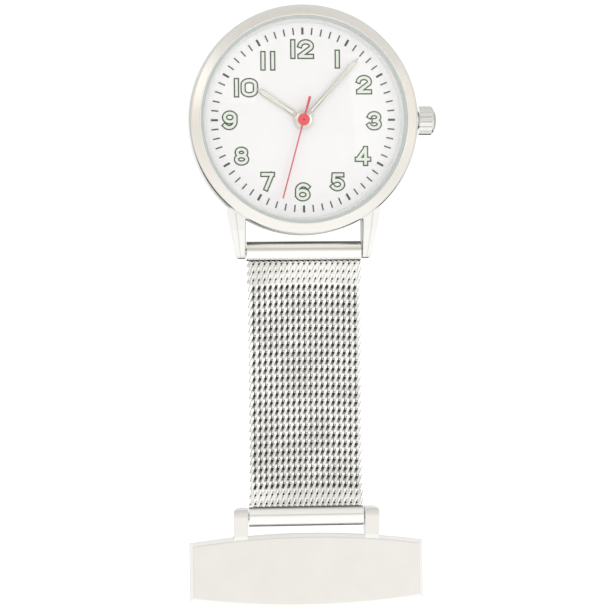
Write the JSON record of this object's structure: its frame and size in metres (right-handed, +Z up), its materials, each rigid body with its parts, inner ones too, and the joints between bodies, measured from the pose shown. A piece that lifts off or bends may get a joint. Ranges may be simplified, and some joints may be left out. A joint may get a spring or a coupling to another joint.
{
  "type": "fob watch",
  "caption": "Round quartz watch head with a plain white dial, hung on a woven steel mesh band from a curved brooch bar with a safety-catch pin.",
  "frame": {"origin": "middle of the brooch pin's axis", "axes": "+Z up as worn, brooch on top and watch head below; the dial faces -Y; X along the brooch pin"},
  "size_m": [0.0362, 0.0087, 0.0865],
  "materials": {
    "case_steel": "warm brushed bezel, polished bead",
    "crystal_glass": "clear mineral glass",
    "clear_gasket": "translucent",
    "ring_grey": "satin",
    "dial_white": "satin white lacquer",
    "holder_plastic": "moulded",
    "movement_plate": "nickel plated",
    "blued_screw": "hardened",
    "cell_steel": "satin",
    "contact_gold": "gold plated",
    "board_green": "solder mask",
    "coil_copper": "enamelled copper wire",
    "soft_iron": "plain",
    "magnet_dark": "sintered magnet",
    "wheel_brass": "cut brass",
    "polished_steel": "polished",
    "black_rubber": "matte",
    "hand_lume": "silver frame with pale luminous paint",
    "hand_red": "red lacquer",
    "back_steel": "satin, turned",
    "bar_steel": "satin",
    "mesh_steel": "woven wire",
    "brooch_chrome": "polished plate",
    "pin_steel": "hard drawn wire"
  },
  "bodies": {
    "brooch": {"brooch_plate": "brooch_chrome", "brooch_bar": "bar_steel", "brooch_bar_spring": "soft_iron", "pin_hinge": "bar_steel", "pin_rivet": "bar_steel", "catch_base": "bar_steel"},
    "pin": {"brooch_pin": "pin_steel"},
    "collar": {"catch_collar": "polished_steel"},
    "brooch_tip_left": {"brooch_bar_tip_left": "bar_steel"},
    "brooch_tip_right": {"brooch_bar_tip_right": "bar_steel"},
    "band_1": {"brooch_end_tube": "polished_steel", "mesh_1": "mesh_steel"},
    "band_2": {"mesh_2": "mesh_steel"},
    "band_3": {"mesh_3": "mesh_steel"},
    "band_4": {"mesh_4": "mesh_steel"},
    "band_5": {"mesh_5": "mesh_steel"},
    "band_6": {"mesh_6": "mesh_steel", "case_end_tube": "polished_steel"},
    "case": {"case_body": "case_steel", "crystal": "crystal_glass", "crystal_gasket": "clear_gasket", "dial_ring": "ring_grey", "dial": "dial_white", "movement_holder": "holder_plastic", "main_plate": "movement_plate", "train_bridge": "movement_plate", "bridge_screws": "blued_screw", "battery": "cell_steel", "battery_clamp": "cell_steel", "battery_contact": "contact_gold", "circuit_board": "board_green", "quartz_crystal": "cell_steel", "coil_block": "coil_copper", "stator": "soft_iron", "dial_washer": "wheel_brass", "case_tube": "polished_steel", "case_back": "back_steel", "case_back_gasket": "black_rubber", "case_bar": "bar_steel", "case_bar_spring": "soft_iron"},
    "case_tip_left": {"case_bar_tip_left": "bar_steel"},
    "case_tip_right": {"case_bar_tip_right": "bar_steel"},
    "seconds": {"seconds_wheel": "wheel_brass", "second_hand": "hand_red"},
    "third": {"third_wheel": "wheel_brass"},
    "minutes": {"centre_wheel": "wheel_brass", "cannon_pinion": "wheel_brass", "minute_hand": "hand_lume"},
    "fifth": {"fifth_wheel": "wheel_brass"},
    "rotor_shaft": {"rotor": "magnet_dark"},
    "minute_work": {"minute_wheel": "wheel_brass"},
    "hours": {"hour_wheel": "wheel_brass", "hour_hand": "hand_lume"},
    "setting": {"setting_wheel": "wheel_brass"},
    "lever": {"setting_lever": "soft_iron"},
    "yoke_slide": {"yoke": "soft_iron"},
    "clutch": {"clutch_wheel": "wheel_brass"},
    "stem": {"winding_stem": "soft_iron", "crown": "polished_steel", "crown_gasket": "black_rubber"}
  },
  "joints": [
    {"name": "brooch_pivot", "type": "hinge", "parent": "brooch", "child": "band_1", "pos_m": [0, -0.003, -0.0078], "axis": [-1, 0, 0], "range_deg": [-80, 80]},
    {"name": "band_flex_1", "type": "hinge", "parent": "band_1", "child": "band_2", "pos_m": [0, -0.003, -0.0151], "axis": [-1, 0, 0], "range_deg": [-20, 20]},
    {"name": "band_flex_2", "type": "hinge", "parent": "band_2", "child": "band_3", "pos_m": [0, -0.003, -0.021], "axis": [-1, 0, 0], "range_deg": [-20, 20]},
    {"name": "band_flex_3", "type": "hinge", "parent": "band_3", "child": "band_4", "pos_m": [0, -0.003, -0.0269], "axis": [-1, 0, 0], "range_deg": [-20, 20]},
    {"name": "band_flex_4", "type": "hinge", "parent": "band_4", "child": "band_5", "pos_m": [0, -0.003, -0.0328], "axis": [-1, 0, 0], "range_deg": [-20, 20]},
    {"name": "band_flex_5", "type": "hinge", "parent": "band_5", "child": "band_6", "pos_m": [0, -0.003, -0.0387], "axis": [-1, 0, 0], "range_deg": [-20, 20]},
    {"name": "case_pivot", "type": "hinge", "parent": "band_6", "child": "case", "pos_m": [0, -0.003, -0.046], "axis": [-1, 0, 0], "range_deg": [-80, 80]},
    {"name": "pin_open", "type": "hinge", "parent": "brooch", "child": "pin", "pos_m": [-0.0134, 0, 0], "axis": [0, 0, 1], "range_deg": [0, 70]},
    {"name": "catch_turn", "type": "hinge", "parent": "brooch", "child": "collar", "pos_m": [0.0117, 0, 0], "axis": [-1, 0, 0], "range_deg": [0, 150]},
    {"name": "brooch_tip_left_press", "type": "slide", "parent": "brooch", "child": "brooch_tip_left", "axis": [-1, 0, 0], "range_m": [0, 0.0008], "stiffness_N_per_m": 40, "springref_m": -0.0006, "deforming": ["brooch_bar_spring"]},
    {"name": "brooch_tip_right_press", "type": "slide", "parent": "brooch", "child": "brooch_tip_right", "axis": [1, 0, 0], "range_m": [0, 0.0008], "stiffness_N_per_m": 40, "springref_m": -0.0006, "deforming": ["brooch_bar_spring"]},
    {"name": "case_tip_left_press", "type": "slide", "parent": "case", "child": "case_tip_left", "axis": [-1, 0, 0], "range_m": [0, 0.0008], "stiffness_N_per_m": 40, "springref_m": -0.0006, "deforming": ["case_bar_spring"]},
    {"name": "case_tip_right_press", "type": "slide", "parent": "case", "child": "case_tip_right", "axis": [1, 0, 0], "range_m": [0, 0.0008], "stiffness_N_per_m": 40, "springref_m": -0.0006, "deforming": ["case_bar_spring"]},
    {"name": "seconds_turn", "type": "hinge", "parent": "case", "child": "seconds", "pos_m": [0, -0.0002, -0.06475], "axis": [0, 1, 0], "continuous": true},
    {"name": "third_turn", "type": "hinge", "parent": "case", "child": "third", "pos_m": [-0.00111, -0.0002, -0.06284], "axis": [0, 1, 0], "continuous": true},
    {"name": "minutes_turn", "type": "hinge", "parent": "case", "child": "minutes", "pos_m": [0, -0.0002, -0.06475], "axis": [0, 1, 0], "continuous": true},
    {"name": "fifth_turn", "type": "hinge", "parent": "case", "child": "fifth", "pos_m": [-0.00114, -0.0002, -0.06672], "axis": [0, 1, 0], "continuous": true},
    {"name": "rotor_turn", "type": "hinge", "parent": "case", "child": "rotor_shaft", "pos_m": [-0.00087, -0.0002, -0.06826], "axis": [0, 1, 0], "continuous": true},
    {"name": "minute_work_turn", "type": "hinge", "parent": "case", "child": "minute_work", "pos_m": [-0.00187, -0.0002, -0.06367], "axis": [0, 1, 0], "continuous": true},
    {"name": "hours_turn", "type": "hinge", "parent": "case", "child": "hours", "pos_m": [0, -0.0002, -0.06475], "axis": [0, 1, 0], "continuous": true},
    {"name": "setting_turn", "type": "hinge", "parent": "case", "child": "setting", "pos_m": [-0.00436, -0.0002, -0.06406], "axis": [0, 1, 0], "continuous": true},
    {"name": "crown_pull", "type": "slide", "parent": "clutch", "child": "stem", "axis": [-1, 0, 0], "range_m": [0, 0.0013]},
    {"name": "crown_turn", "type": "hinge", "parent": "yoke_slide", "child": "clutch", "pos_m": [0, -0.0031, -0.06475], "axis": [-1, 0, 0], "continuous": true},
    {"name": "yoke_shift", "type": "slide", "parent": "case", "child": "yoke_slide", "axis": [-1, 0, 0], "range_m": [-0.0003, 0]},
    {"name": "lever_swing", "type": "hinge", "parent": "case", "child": "lever", "pos_m": [-0.00815, -0.0002, -0.06135], "axis": [0, 1, 0], "range_deg": [0, 19.1]}
  ],
  "couplings": [
    {"joint": "third_turn", "follows": "seconds_turn", "ratio": -0.13333},
    {"joint": "minutes_turn", "follows": "seconds_turn", "ratio": 0.016667},
    {"joint": "fifth_turn", "follows": "seconds_turn", "ratio": -6},
    {"joint": "rotor_turn", "follows": "seconds_turn", "ratio": 30},
    {"joint": "minute_work_turn", "follows": "seconds_turn", "ratio": -0.0055556},
    {"joint": "hours_turn", "follows": "seconds_turn", "ratio": 0.0013889},
    {"joint": "setting_turn", "follows": "seconds_turn", "ratio": 0.01},
    {"joint": "yoke_shift", "follows": "crown_pull", "ratio": -0.23077},
    {"joint": "lever_swing", "follows": "crown_pull", "rad_per_m": 255.75}
  ]
}
